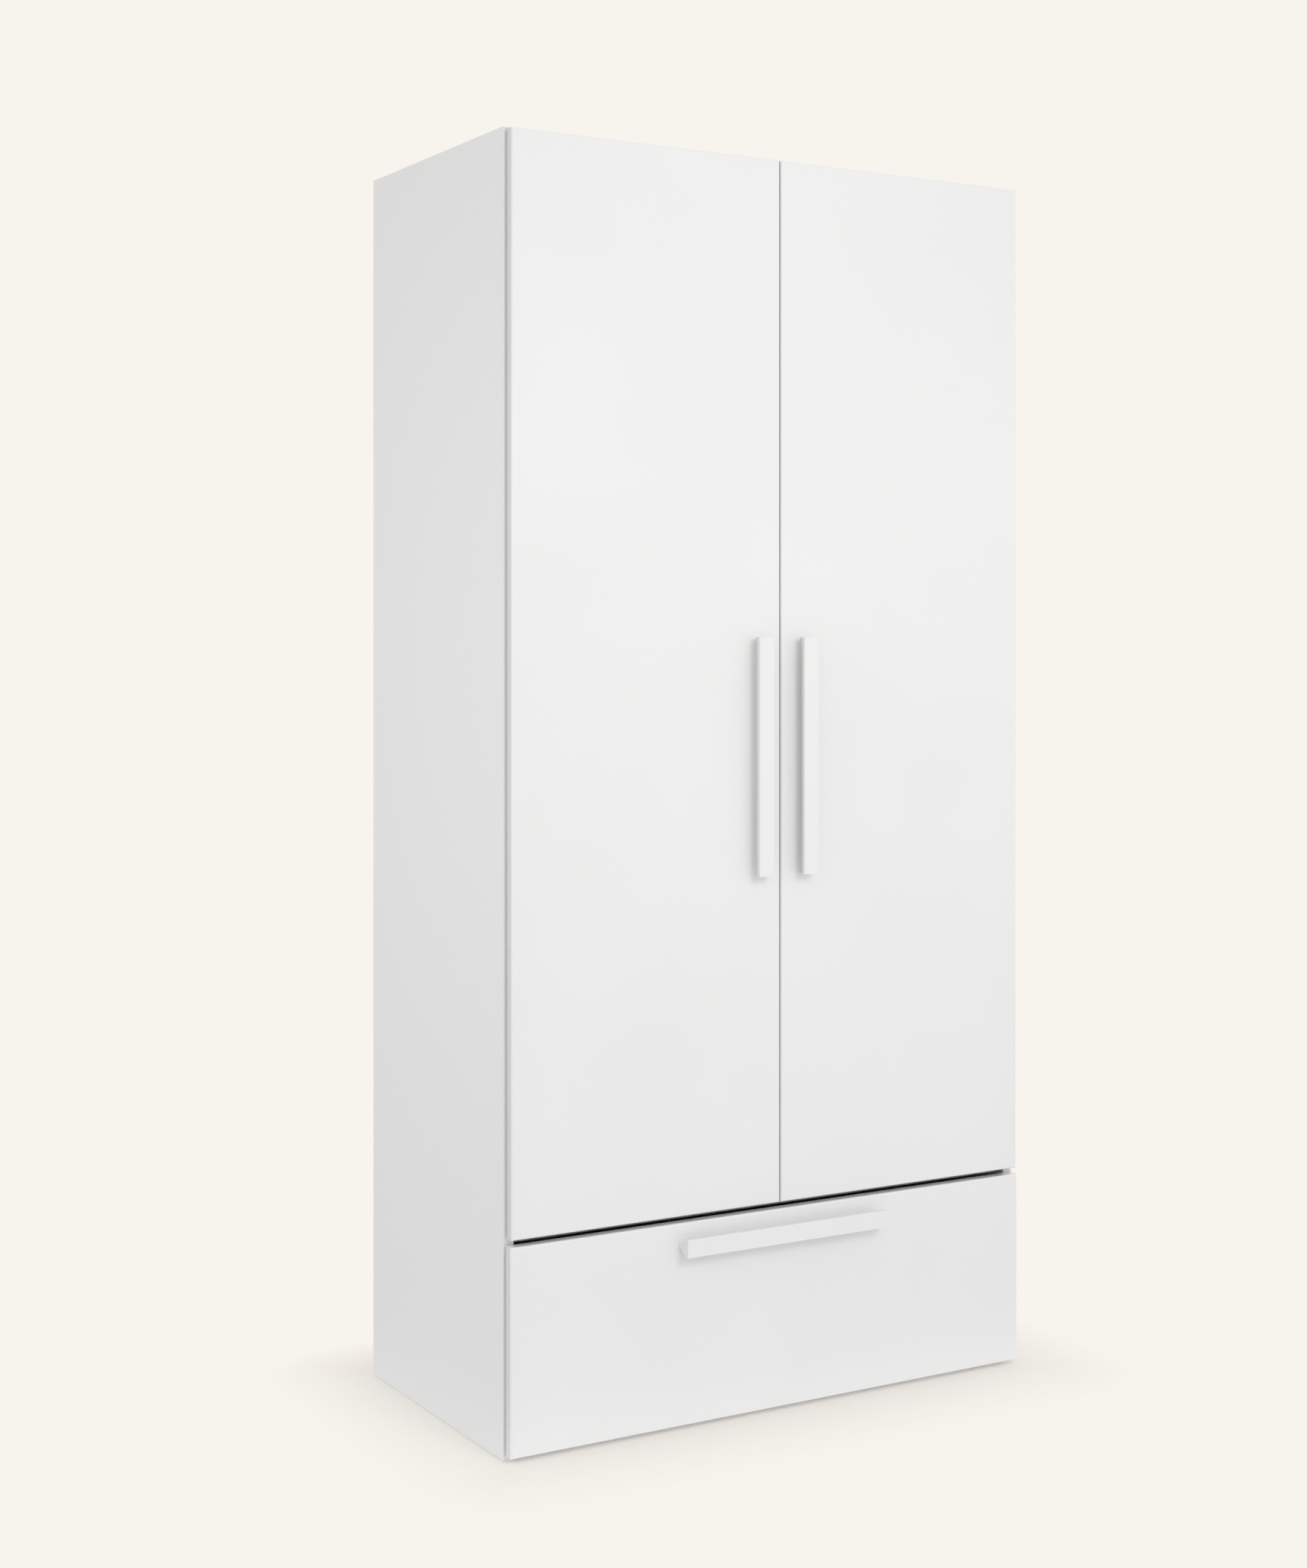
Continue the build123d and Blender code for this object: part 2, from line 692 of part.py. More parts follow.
# Roller runners, built on the right; r counts from the side panel's face towards the drawer ------------
roller_gap = 0.25
channel_inner = 2 * (roller_radius + roller_gap)
channel_top_z = runner_bottom_z + runner_sheet + channel_inner
drawer_flange_z = channel_top_z + runner_sheet + 1
rear_roller_z = runner_bottom_z + runner_sheet + roller_gap + roller_radius
front_roller_z = drawer_flange_z - roller_gap - roller_radius
cabinet_runner_front_y = front_inner_y + 3
front_roller_y = cabinet_runner_front_y + 14
rear_roller_y = drawer_back_y - 16
flange_reach = 10.2
cover_gap = 4              # between the front roller and the cover over the track
drawer_web_r = runner_space - runner_sheet
axle_head_radius = 3.4
axle_end = 0.6             # what an axle stands out beyond its roller
axle_head = 0.4
axle_collar = (3, 1.6)     # radius and length of the collar behind the front roller
roller_rim = 0.6


def rblock(r0, r1, y0, y1, z0, z1):
    return block(inner_x - r0, inner_x - r1, y0, y1, z0, z1)


def cabinet_runner():
    front_y = cabinet_runner_front_y
    rear_y = front_y + runner_length
    web = rblock(0, runner_sheet, front_y, rear_y, runner_bottom_z, channel_top_z + runner_sheet)
    track = rblock(0, flange_reach, front_y, rear_y, runner_bottom_z, runner_bottom_z + runner_sheet)
    cover_front = front_roller_y + roller_radius + cover_gap
    cover = rblock(0, flange_reach, cover_front, rear_y, channel_top_z, channel_top_z + runner_sheet)
    screw_cuts = [cabinet_runner_screw(y) for y in runner_screw_rows]
    return (web + track + cover) - screw_cuts - cabinet_axle()


def axle_part(radius, r0, r1, y, z):
    return rod("x", radius, (inner_x - (r0 + r1) / 2, y, z), r1 - r0)


def cabinet_axle():
    place = (front_roller_y, front_roller_z)
    stop = roller_inset + roller_width + axle_end
    collar_radius, collar_length = axle_collar
    collar = axle_part(collar_radius, runner_sheet, runner_sheet + collar_length, *place)
    head = axle_part(axle_head_radius, stop - axle_head, stop, *place)
    return axle_part(axle_radius, 0, stop, *place) + head + collar


def drawer_runner():
    front_y = front_inner_y
    rear_y = drawer_back_y
    web = rblock(drawer_web_r, runner_space, front_y, rear_y, drawer_side_bottom_z - runner_sheet,
                 drawer_flange_z + runner_sheet)
    flange = rblock(roller_inset, runner_space, front_y, rear_y,
                    drawer_flange_z, drawer_flange_z + runner_sheet)
    foot = rblock(drawer_web_r, runner_space + drawer_board - 1, front_y, rear_y,
                  drawer_side_bottom_z - runner_sheet, drawer_side_bottom_z)
    return (web + flange + foot) - drawer_runner_screws - drawer_axle()


def drawer_axle():
    place = (rear_roller_y, rear_roller_z)
    start = roller_inset - axle_end
    head = axle_part(axle_head_radius, start, start + axle_head, *place)
    return axle_part(axle_radius, start, runner_space, *place) + head


def roller(y, z):
    middle = (inner_x - roller_inset - roller_width / 2, y, z)
    wheel = rod("x", roller_radius, middle, roller_width)
    wheel = chamfer(wheel.edges().filter_by(GeomType.CIRCLE), roller_rim)
    return wheel - rod("x", axle_radius + running_gap, middle, 2 * roller_width)


parts["runner_cabinet_right"] = cabinet_runner()
parts["runner_cabinet_left"] = mirrored(cabinet_runner())
parts["runner_drawer_right"] = drawer_runner()
parts["runner_drawer_left"] = mirrored(drawer_runner())
parts["cabinet_roller_axles"] = group(both_sides([cabinet_axle()]))
parts["drawer_roller_axles"] = group(both_sides([drawer_axle()]))
parts["cabinet_rollers"] = group(both_sides([roller(front_roller_y, front_roller_z)]))
parts["drawer_rollers"] = group(both_sides([roller(rear_roller_y, rear_roller_z)]))
parts["drawer_runner_screws"] = group(drawer_runner_screws)

cabinet_screws = both_sides(on_each_hinge(plate_screws()))
cabinet_screws += both_sides([cabinet_runner_screw(y) for y in runner_screw_rows])
cabinet_screws += rail_screws + top_screws
parts["cabinet_screws"] = group(cabinet_screws)


os.makedirs("parts", exist_ok=True)
for name, shape in parts.items():
    export_step(shape, "parts/" + name + ".step")
print(len(parts), "nodes")
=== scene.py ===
from math import cos, pi, radians, sin

import bpy
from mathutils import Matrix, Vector


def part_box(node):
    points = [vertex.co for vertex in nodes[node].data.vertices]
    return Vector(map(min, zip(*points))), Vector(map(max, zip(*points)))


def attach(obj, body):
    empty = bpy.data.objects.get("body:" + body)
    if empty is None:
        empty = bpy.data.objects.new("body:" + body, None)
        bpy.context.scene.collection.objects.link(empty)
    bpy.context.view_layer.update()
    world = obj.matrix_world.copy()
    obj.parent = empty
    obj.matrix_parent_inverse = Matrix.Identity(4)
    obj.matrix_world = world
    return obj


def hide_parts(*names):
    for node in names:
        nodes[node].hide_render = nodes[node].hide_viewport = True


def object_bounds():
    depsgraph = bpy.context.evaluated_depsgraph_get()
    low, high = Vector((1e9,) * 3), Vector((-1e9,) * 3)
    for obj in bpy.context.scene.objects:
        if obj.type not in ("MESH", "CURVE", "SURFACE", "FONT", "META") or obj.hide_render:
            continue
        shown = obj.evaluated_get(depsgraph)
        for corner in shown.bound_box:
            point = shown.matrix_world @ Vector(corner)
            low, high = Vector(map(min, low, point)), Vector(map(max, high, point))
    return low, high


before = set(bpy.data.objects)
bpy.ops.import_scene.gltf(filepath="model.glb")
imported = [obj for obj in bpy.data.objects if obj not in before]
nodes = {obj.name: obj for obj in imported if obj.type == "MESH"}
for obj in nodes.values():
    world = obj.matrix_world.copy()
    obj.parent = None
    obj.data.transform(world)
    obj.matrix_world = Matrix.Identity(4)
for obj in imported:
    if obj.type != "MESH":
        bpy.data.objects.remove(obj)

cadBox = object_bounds()
mm = 0.001
bpy.ops.object.select_all(action="DESELECT")
print("frame loaded:", len(nodes), "nodes")


# modelling helpers

def activate(piece):
    bpy.ops.object.select_all(action="DESELECT")
    piece.select_set(True)
    bpy.context.view_layer.objects.active = piece


def newest(name):
    piece = bpy.context.active_object
    piece.name = name
    piece.data.name = name
    return piece


def applyPlace(piece):
    activate(piece)
    bpy.ops.object.transform_apply(location=True, rotation=True, scale=True)


def cuboid(name, low, high):
    # a primitive cube between two corners, with its place in its mesh
    low, high = Vector(low), Vector(high)
    bpy.ops.mesh.primitive_cube_add(size=1, location=(low + high) / 2)
    piece = newest(name)
    piece.scale = high - low
    applyPlace(piece)
    return piece


def cylinder(name, axis, radius, start, length, vertices=32):
    # a round bar that starts at a point and runs along x, y or z
    turns = {"x": (0, pi / 2, 0), "y": (-pi / 2, 0, 0), "z": (0, 0, 0)}
    middle = Vector(start)
    middle["xyz".index(axis)] += length / 2
    bpy.ops.mesh.primitive_cylinder_add(vertices=vertices, radius=radius, depth=abs(length), location=middle,
                                        rotation=turns[axis])
    piece = newest(name)
    applyPlace(piece)
    return piece


def pickEdges(piece, wanted):
    # selects the edges whose two ends both pass the test, ready for edit mode
    for part in (piece.data.vertices, piece.data.edges, piece.data.polygons):
        part.foreach_set("select", [False] * len(part))
    points = piece.data.vertices
    for edge in piece.data.edges:
        edge.select = wanted(points[edge.vertices[0]].co, points[edge.vertices[1]].co)


def bevelWhere(piece, wanted, width, segments):
    activate(piece)
    bpy.ops.object.mode_set(mode="EDIT")
    bpy.ops.mesh.select_mode(type="EDGE")
    bpy.ops.mesh.select_all(action="DESELECT")
    bpy.ops.object.mode_set(mode="OBJECT")
    pickEdges(piece, wanted)
    bpy.ops.object.mode_set(mode="EDIT")
    bpy.ops.mesh.bevel(offset=width, segments=segments, profile=0.5, affect="EDGES", clamp_overlap=True)
    bpy.ops.object.mode_set(mode="OBJECT")


def applyModifier(piece, kind, **settings):
    activate(piece)
    modifier = piece.modifiers.new(kind.lower(), kind)
    for key, value in settings.items():
        setattr(modifier, key, value)
    bpy.ops.object.modifier_apply(modifier=modifier.name)


def joined(name, pieces):
    bpy.ops.object.select_all(action="DESELECT")
    for piece in pieces:
        piece.select_set(True)
    bpy.context.view_layer.objects.active = pieces[0]
    if len(pieces) > 1:
        bpy.ops.object.join()
    return newest(name)


def cutAway(piece, cutters):
    cutter = joined("cutter", cutters)
    applyModifier(piece, "BOOLEAN", operation="DIFFERENCE", solver="EXACT", object=cutter)
    bpy.data.objects.remove(cutter)


def smoothed(piece, angle=32):
    activate(piece)
    bpy.ops.object.shade_smooth_by_angle(angle=radians(angle))
    applyModifier(piece, "WEIGHTED_NORMAL", weight=60, keep_sharp=True)
    return piece


def onPlane(axis, place):
    index = "xyz".index(axis)
    return lambda point: abs(point[index] - place) < 2e-6


def finishPiece(piece, body, replaced, material):
    piece.data.materials.clear()
    piece.data.materials.append(material)
    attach(piece, body)
    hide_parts(*replaced)
    return piece


# material helpers

class Value:
    # wraps a socket so that plain arithmetic adds Math nodes
    def __init__(self, finish, socket):
        self.finish = finish
        self.socket = socket

    def maths(self, operation, first, second):
        return self.finish.add("ShaderNodeMath", {"operation": operation}, {0: first, 1: second})

    def __add__(self, other):
        return self.maths("ADD", self, other)

    def __radd__(self, other):
        return self.maths("ADD", other, self)

    def __sub__(self, other):
        return self.maths("SUBTRACT", self, other)

    def __rsub__(self, other):
        return self.maths("SUBTRACT", other, self)

    def __mul__(self, other):
        return self.maths("MULTIPLY", self, other)

    def __rmul__(self, other):
        return self.maths("MULTIPLY", other, self)

    def __gt__(self, other):
        return self.maths("GREATER_THAN", self, other)

    def __lt__(self, other):
        return self.maths("LESS_THAN", self, other)


class Finish:
    # one node tree: a material's, or the world's
    def __init__(self, owner):
        owner.use_nodes = True
        self.owner = owner
        self.tree = owner.node_tree
        self.shader = self.tree.nodes.get("Principled BSDF")

    def add(self, kind, settings=None, inputs=None, output=0):
        node = self.tree.nodes.new(kind)
        for key, value in (settings or {}).items():
            if key == "stops":
                self.setStops(node.color_ramp, value)
            else:
                setattr(node, key, value)
        for key, value in (inputs or {}).items():
            self.feed(node.inputs[key], value)
        return Value(self, node.outputs[output])

    def setStops(self, ramp, stops):
        while len(ramp.elements) < len(stops):
            ramp.elements.new(0.5)
        for element, (place, shade) in zip(ramp.elements, stops):
            element.position = place
            element.color = (*shade, 1) if isinstance(shade, tuple) else (shade, shade, shade, 1)

    def feed(self, socket, value):
        if isinstance(value, Value):
            self.tree.links.new(value.socket, socket)
        elif isinstance(value, (tuple, list)) and len(value) == 3 and socket.type == "RGBA":
            socket.default_value = (*value, 1)
        else:
            socket.default_value = value

    def set(self, **sockets):
        # Base_Color stands for the socket Base Color
        for key, value in sockets.items():
            self.feed(self.shader.inputs[key.replace("_", " ")], value)

    def place(self):
        return self.add("ShaderNodeTexCoord", output="Object")

    def axis(self, name, vector=None):
        source = vector or self.place()
        return self.add("ShaderNodeSeparateXYZ", inputs={0: source}, output="XYZ".index(name.upper()))

    def stretched(self, scale, turn=(0, 0, 0)):
        return self.add("ShaderNodeMapping", {"vector_type": "POINT"},
                        {"Vector": self.place(), "Rotation": turn, "Scale": scale})

    def noise(self, scale, detail=3, roughness=0.5, vector=None, distortion=0):
        return self.add("ShaderNodeTexNoise", {"noise_dimensions": "3D"},
                        {"Vector": vector or self.place(), "Scale": scale, "Detail": detail,
                         "Roughness": roughness, "Distortion": distortion})

    def ramp(self, value, *stops):
        return self.add("ShaderNodeValToRGB", {"stops": stops}, {0: value})

    def level(self, value, fromLow, fromHigh, toLow, toHigh):
        return self.add("ShaderNodeMapRange", {"clamp": True},
                        {"Value": value, "From Min": fromLow, "From Max": fromHigh,
                         "To Min": toLow, "To Max": toHigh})

    def mixed(self, factor, first, second):
        return self.add("ShaderNodeMix", {"data_type": "RGBA"}, {0: factor, 6: first, 7: second}, output=2)

    def bump(self, height, distance, strength=1, normal=None):
        inputs = {"Height": height, "Distance": distance, "Strength": strength}
        if normal:
            inputs["Normal"] = normal
        return self.add("ShaderNodeBump", {}, inputs)


def newFinish(name):
    return Finish(bpy.data.materials.new(name))


# materials

frontShape = {"rounding": 4 * mm, "roundingSteps": 8, "backEdge": 0.4 * mm, "boreVertices": 64}
# glossLook's edge colour is painted shade, put on the fronts' upright side faces
glossLook = {"white": (0.83, 0.83, 0.825), "shade": (0.81, 0.81, 0.805), "edge": (0.64, 0.64, 0.635),
             "roughness": 0.22, "coatRoughness": 0.045, "ripplePerMetre": 95, "rippleDepth": 0.000012}


def glossWhite(name, outerX, frontY, turnedBy):
    # high-gloss foil on board: a hard clear surface over white, with a very slight ripple and wiping marks, and
    # painted shade on the upright side faces
    look = glossLook
    finish = newFinish(name)
    cloud = finish.noise(3.1, 2, 0.5)
    wipes = finish.noise(9, 4, 0.62, finish.stretched((1, 1, 0.28), (0, 0.35, 0)))
    ripple = finish.noise(look["ripplePerMetre"], 2, 0.4)
    colour = finish.mixed(finish.level(cloud, 0.35, 0.7, 0, 1), look["white"], look["shade"])
    # painted shade: behind the rounding, the upright outer side faces are painted greyer, in place of the shade
    # that falls on them
    turned = finish.level(finish.axis("y"), frontY + 0.5 * turnedBy, frontY + 1.1 * turnedBy, 0, 1)
    across = finish.axis("x")
    paintedShadeSide = (across * across) > (outerX - 0.1 * mm) ** 2
    colour = finish.mixed(turned * paintedShadeSide, colour, look["edge"])
    finish.set(Base_Color=colour,
               Roughness=finish.level(wipes, 0.3, 0.75, look["roughness"] - 0.03, look["roughness"] + 0.06),
               Coat_Weight=finish.level(wipes, 0.25, 0.8, 1.0, 0.9),
               Coat_Roughness=look["coatRoughness"],
               Normal=finish.bump(ripple, look["rippleDepth"], 0.6))
    finish.shader.inputs["Coat IOR"].default_value = 1.5
    return finish.owner


melamineLook = {"white": (0.80, 0.80, 0.795), "speck": (0.765, 0.765, 0.76), "band": (0.825, 0.825, 0.82),
                "glue": (0.50, 0.49, 0.47), "roughness": 0.36, "bandThickness": 1.0 * mm,
                "glueWidth": 0.14 * mm, "grainPerMetre": 900, "grainDepth": 0.00002}
chipLook = {"pale": (0.62, 0.47, 0.30), "dark": (0.33, 0.21, 0.11), "chipsPerMetre": 420}


def chipboardColour(finish):
    chips = finish.add("ShaderNodeTexVoronoi", {"feature": "F1"},
                       {"Vector": finish.place(), "Scale": chipLook["chipsPerMetre"]}, output="Color")
    tone = finish.axis("x", chips)
    dust = finish.noise(1300, 3, 0.6)
    darkness = finish.level(tone * 0.7 + dust * 0.5, 0.25, 0.95, 0, 1)
    return finish.mixed(darkness, chipLook["pale"], chipLook["dark"])


def melamineWhite(name, bandY, rawBackY):
    # satin paper-faced chipboard: an edge band with its glue line at the front, and the raw core at the back
    look = melamineLook
    finish = newFinish(name)
    depth = finish.axis("y")
    grain = finish.noise(look["grainPerMetre"], 3, 0.65)
    speckle = finish.noise(260, 4, 0.7)
    face = finish.mixed(finish.level(speckle, 0.35, 0.75, 0, 1), look["white"], look["speck"])
    bandEnd = bandY + look["bandThickness"]
    isBand = depth < bandEnd
    isGlue = (depth > bandEnd) * (depth < bandEnd + look["glueWidth"])
    isRaw = depth > rawBackY - 0.02 * mm
    colour = finish.mixed(isBand, face, look["band"])
    colour = finish.mixed(isGlue, colour, look["glue"])
    colour = finish.mixed(isRaw, colour, chipboardColour(finish))
    relief = grain * (1 - isBand) + isRaw * finish.noise(700, 4, 0.7) * 8
    finish.set(Base_Color=colour,
               Roughness=finish.level(speckle, 0.3, 0.8, look["roughness"] - 0.05, look["roughness"] + 0.07)
               - 0.1 * isBand + 0.45 * isRaw,
               Normal=finish.bump(relief, look["grainDepth"], 0.5))
    return finish.owner


hardboardLook = {"white": (0.78, 0.78, 0.77), "fibre": (0.42, 0.29, 0.17), "dark": (0.27, 0.175, 0.095)}


def hardboard(name, splitY):
    # thin fibreboard: white print on the side that faces the clothes, brown fibre on the other
    finish = newFinish(name)
    hair = finish.noise(420, 6, 0.72, finish.stretched((1, 1, 0.35)))
    blotch = finish.noise(14, 4, 0.6)
    fibre = finish.mixed(finish.level(hair * 0.7 + blotch * 0.4, 0.3, 0.8, 0, 1), hardboardLook["fibre"],
                         hardboardLook["dark"])
    isBack = finish.axis("y") > splitY
    weave = finish.add("ShaderNodeTexVoronoi", {"feature": "F1"},
                       {"Vector": finish.place(), "Scale": 650}, output="Distance")
    colour = finish.mixed(isBack, hardboardLook["white"], fibre)
    finish.set(Base_Color=colour,
               Roughness=finish.level(hair, 0.3, 0.8, 0.38, 0.52) + 0.25 * isBack,
               Normal=finish.bump(weave * isBack + hair * 0.2, 0.00012, 0.5))
    return finish.owner


lacquerLook = {"white": (0.83, 0.83, 0.825), "low": (0.81, 0.81, 0.805), "roughness": 0.24,
               "peelPerMetre": 700, "peelDepth": 0.000012}


def handleLacquer():
    # sprayed white lacquer with a fine orange peel and a few rubbed spots where fingers hold the bar
    look = lacquerLook
    finish = newFinish("handleLacquer")
    peel = finish.noise(look["peelPerMetre"], 2, 0.45)
    rubbed = finish.noise(9, 2, 0.5)
    finish.set(Base_Color=finish.mixed(finish.level(rubbed, 0.1, 0.9, 0, 1), look["white"], look["low"]),
               Roughness=finish.level(rubbed, 0.1, 0.9, look["roughness"] - 0.05, look["roughness"] + 0.05),
               Coat_Weight=finish.level(rubbed, 0.1, 0.9, 0.6, 0.45),
               Coat_Roughness=0.12,
               Normal=finish.bump(peel, look["peelDepth"], 0.6))
    return finish.owner


def steel(name, colour, roughness, brush, grainDepth=0.00001, dullSpots=0.08):
    # plated steel: fine marks drawn along the stretch, and duller spots
    finish = newFinish(name)
    lines = finish.noise(60, 4, 0.6, finish.stretched(brush))
    spots = finish.noise(130, 3, 0.6)
    darker = tuple(0.86 * part for part in colour)
    finish.set(Base_Color=finish.mixed(finish.level(spots, 0.35, 0.75, 0, 1), colour, darker),
               Metallic=1.0,
               Roughness=finish.level(lines * 0.6 + spots * 0.4, 0.3, 0.7,
                                      roughness - 0.05, roughness + dullSpots),
               Normal=finish.bump(lines, grainDepth, 0.5))
    return finish.owner


def powderCoat():
    finish = newFinish("whitePowderCoat")
    grit = finish.noise(1500, 3, 0.6)
    tone = finish.noise(40, 3, 0.5)
    scuffs = finish.level(finish.noise(75, 5, 0.7, finish.stretched((1, 0.08, 1))), 0.62, 0.72, 0, 1)
    colour = finish.mixed(finish.level(tone, 0.3, 0.7, 0, 1), (0.80, 0.80, 0.79), (0.775, 0.775, 0.765))
    finish.set(Base_Color=finish.mixed(0.35 * scuffs, colour, (0.58, 0.58, 0.58)),
               Roughness=finish.level(grit, 0.3, 0.7, 0.34, 0.48),
               Normal=finish.bump(grit, 0.00003, 0.4))
    return finish.owner


def mouldedPlastic(name, colour, roughness):
    finish = newFinish(name)
    spark = finish.noise(2200, 3, 0.6)
    flow = finish.noise(35, 3, 0.55)
    darker = tuple(0.94 * part for part in colour)
    finish.set(Base_Color=finish.mixed(finish.level(flow, 0.35, 0.7, 0, 1), colour, darker),
               Roughness=finish.level(flow, 0.3, 0.7, roughness - 0.04, roughness + 0.06),
               Normal=finish.bump(spark, 0.00002, 0.35))
    return finish.owner


def clearBuffer():
    finish = newFinish("clearBuffer")
    haze = finish.noise(500, 2, 0.5)
    finish.set(Base_Color=finish.mixed(haze, (0.82, 0.84, 0.86), (0.72, 0.75, 0.78)),
               Roughness=finish.level(haze, 0.3, 0.7, 0.12, 0.25),
               Normal=finish.bump(haze, 0.00002, 0.3))
    finish.shader.inputs["Transmission Weight"].default_value = 0.55
    finish.shader.inputs["IOR"].default_value = 1.45
    return finish.owner


def beech():
    finish = newFinish("beechDowel")
    rings = finish.noise(160, 5, 0.65, finish.stretched((0.12, 1, 1)))
    flecks = finish.noise(900, 2, 0.5, finish.stretched((0.2, 1, 1)))
    colour = finish.ramp(rings, (0.3, (0.62, 0.42, 0.24)), (0.7, (0.45, 0.27, 0.13)))
    finish.set(Base_Color=finish.mixed(finish.level(flecks, 0.6, 0.7, 0, 0.5), colour, (0.3, 0.17, 0.08)),
               Roughness=finish.level(rings, 0.3, 0.7, 0.5, 0.65),
               Normal=finish.bump(rings, 0.0001, 0.4))
    return finish.owner


def boardMaterial(node, rawBack=True):
    low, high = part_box(node)
    return melamineWhite("melamine_" + node, low.y, high.y if rawBack else high.y + 1)


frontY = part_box("door_left")[0].y
doorGloss = glossWhite("doorGloss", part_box("door_right")[1].x, frontY, frontShape["rounding"])
drawerGloss = glossWhite("drawerGloss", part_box("drawer_front")[1].x, frontY, frontShape["rounding"])
lacquer = handleLacquer()
nickel = steel("nickelSteel", (0.72, 0.71, 0.69), 0.24, (1, 1, 0.05))
chrome = steel("chromeTube", (0.80, 0.80, 0.80), 0.14, (0.03, 1, 1), 0.000004, 0.05)
zinc = steel("castZinc", (0.56, 0.57, 0.58), 0.42, (1, 1, 1), 0.00004, 0.12)
whiteSteel = powderCoat()
whitePlastic = mouldedPlastic("whitePlastic", (0.78, 0.78, 0.77), 0.38)
buffer = clearBuffer()
dowelWood = beech()
print("materials made")


# fronts

def roundedFront(name, node, body, material):
    # a slab whose four front edges are rolled over, as a foil-wrapped front has them
    low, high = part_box(node)
    piece = cuboid(name, low, high)
    atFront, atBack = onPlane("y", low.y), onPlane("y", high.y)
    bevelWhere(piece, lambda a, b: atBack(a) and atBack(b), frontShape["backEdge"], 2)
    bevelWhere(piece, lambda a, b: atFront(a) and atFront(b), frontShape["rounding"],
               frontShape["roundingSteps"])
    if body != "drawer":
        cutAway(piece, cupBores(body, high.y))
    smoothed(piece)
    return finishPiece(piece, body, [node], material)


hinge = {"count": 4, "cupRadius": 17.5 * mm, "cupDepth": 11.5 * mm,
         "fromDoorEdge": 22 * mm, "fromDoorEnd": 100 * mm}


def hingeLevels(body):
    low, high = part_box(body)
    first, last = low.z + hinge["fromDoorEnd"], high.z - hinge["fromDoorEnd"]
    return [first + (last - first) * step / (hinge["count"] - 1) for step in range(hinge["count"])]


def cupBores(body, backY):
    low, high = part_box(body)
    isLeft = low.x + high.x < 0
    middleX = low.x + hinge["fromDoorEdge"] if isLeft else high.x - hinge["fromDoorEdge"]
    return [cylinder("bore", "y", hinge["cupRadius"], (middleX, backY - hinge["cupDepth"], level),
                     hinge["cupDepth"] + 2 * mm, frontShape["boreVertices"]) for level in hingeLevels(body)]


roundedFront("doorLeft", "door_left", "door_left", doorGloss)
roundedFront("doorRight", "door_right", "door_right", doorGloss)
roundedFront("drawerFront", "drawer_front", "drawer", drawerGloss)
print("fronts made")


# handles

barShape = {"arcSteps": 10, "plateRounding": 1.2 * mm, "endRounding": 1.2 * mm, "plateFrom": 18.7 * mm}


def arcThrough(start, middle, end, steps):
    # points on the circle through three points, without the first
    (ax, ay), (bx, by), (cx, cy) = start, middle, end
    area = 2 * (ax * (by - cy) + bx * (cy - ay) + cx * (ay - by))
    a2, b2, c2 = ax * ax + ay * ay, bx * bx + by * by, cx * cx + cy * cy
    centre = Vector((a2 * (by - cy) + b2 * (cy - ay) + c2 * (ay - by),
                     a2 * (cx - bx) + b2 * (ax - cx) + c2 * (bx - ax))) / area
    first, last = Vector(start) - centre, Vector(end) - centre
    sweep = -first.angle_signed(last)
    turned = []
    for step in range(1, steps + 1):
        angle = sweep * step / steps
        turned.append(centre + Vector((first.x * cos(angle) - first.y * sin(angle),
                                       first.x * sin(angle) + first.y * cos(angle))))
    return turned


def barOutline():
    # reach out of the front, then height, in millimetres, round the bar's section
    steps = barShape["arcSteps"]
    points = [Vector((0, 11.8)), Vector((0, 18.6)), Vector((11.5, 18.6))]
    points += arcThrough((11.5, 18.6), (16.2, 21.4), (18.4, 27), steps)
    points += [Vector((19, 28)), Vector((26, 28)), Vector((26, 0)), Vector((17, 0))]
    points += arcThrough((17, 0), (10.5, 6.6), (0, 11.8), steps)[:-1]
    return [point * mm for point in points]


def handleBar(name, node, body, upright):
    low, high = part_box(node)

    def placed(point, along):
        y = high.y - point.x
        return Vector((high.x - point.y, y, along)) if upright else Vector((along, y, low.z + point.y))

    start, end = (low.z, high.z) if upright else (low.x, high.x)
    outline = [placed(point, start) for point in barOutline()]
    bpy.ops.mesh.primitive_plane_add(size=mm, location=outline[0])
    piece = newest(name)
    applyPlace(piece)
    bpy.ops.object.mode_set(mode="EDIT")
    bpy.ops.mesh.select_mode(type="VERT")
    bpy.ops.mesh.select_all(action="SELECT")
    bpy.ops.mesh.merge(type="CENTER")
    for before, after in zip(outline, outline[1:]):
        bpy.ops.mesh.extrude_region_move(TRANSFORM_OT_translate={"value": after - before})
    bpy.ops.mesh.select_all(action="SELECT")
    bpy.ops.mesh.edge_face_add()
    length = placed(Vector((0, 0)), end) - placed(Vector((0, 0)), start)
    bpy.ops.mesh.extrude_region_move(TRANSFORM_OT_translate={"value": length})
    bpy.ops.mesh.select_all(action="SELECT")
    bpy.ops.mesh.normals_make_consistent(inside=False)
    bpy.ops.object.mode_set(mode="OBJECT")
    lengthwise = "z" if upright else "x"
    index = "xyz".index(lengthwise)
    farOut = high.y - barShape["plateFrom"]

    def plateEdge(a, b):
        return abs(a[index] - b[index]) > 0.1 and a.y < farOut

    bevelWhere(piece, plateEdge, barShape["plateRounding"], 4)
    ends = [onPlane(lengthwise, start), onPlane(lengthwise, end)]
    bevelWhere(piece, lambda a, b: any(test(a) and test(b) for test in ends), barShape["endRounding"], 3)
    smoothed(piece, 40)
    return finishPiece(piece, body, [node], lacquer)


handleBar("handleLeft", "handle_left", "door_left", True)
handleBar("handleRight", "handle_right", "door_right", True)
handleBar("handleDrawer", "handle_drawer", "drawer", False)
print("handles made")


# carcass boards

boardShape = {"bandRounding": 0.8 * mm, "edge": 0.25 * mm, "seam": 0.12 * mm, "band": 1.0 * mm}


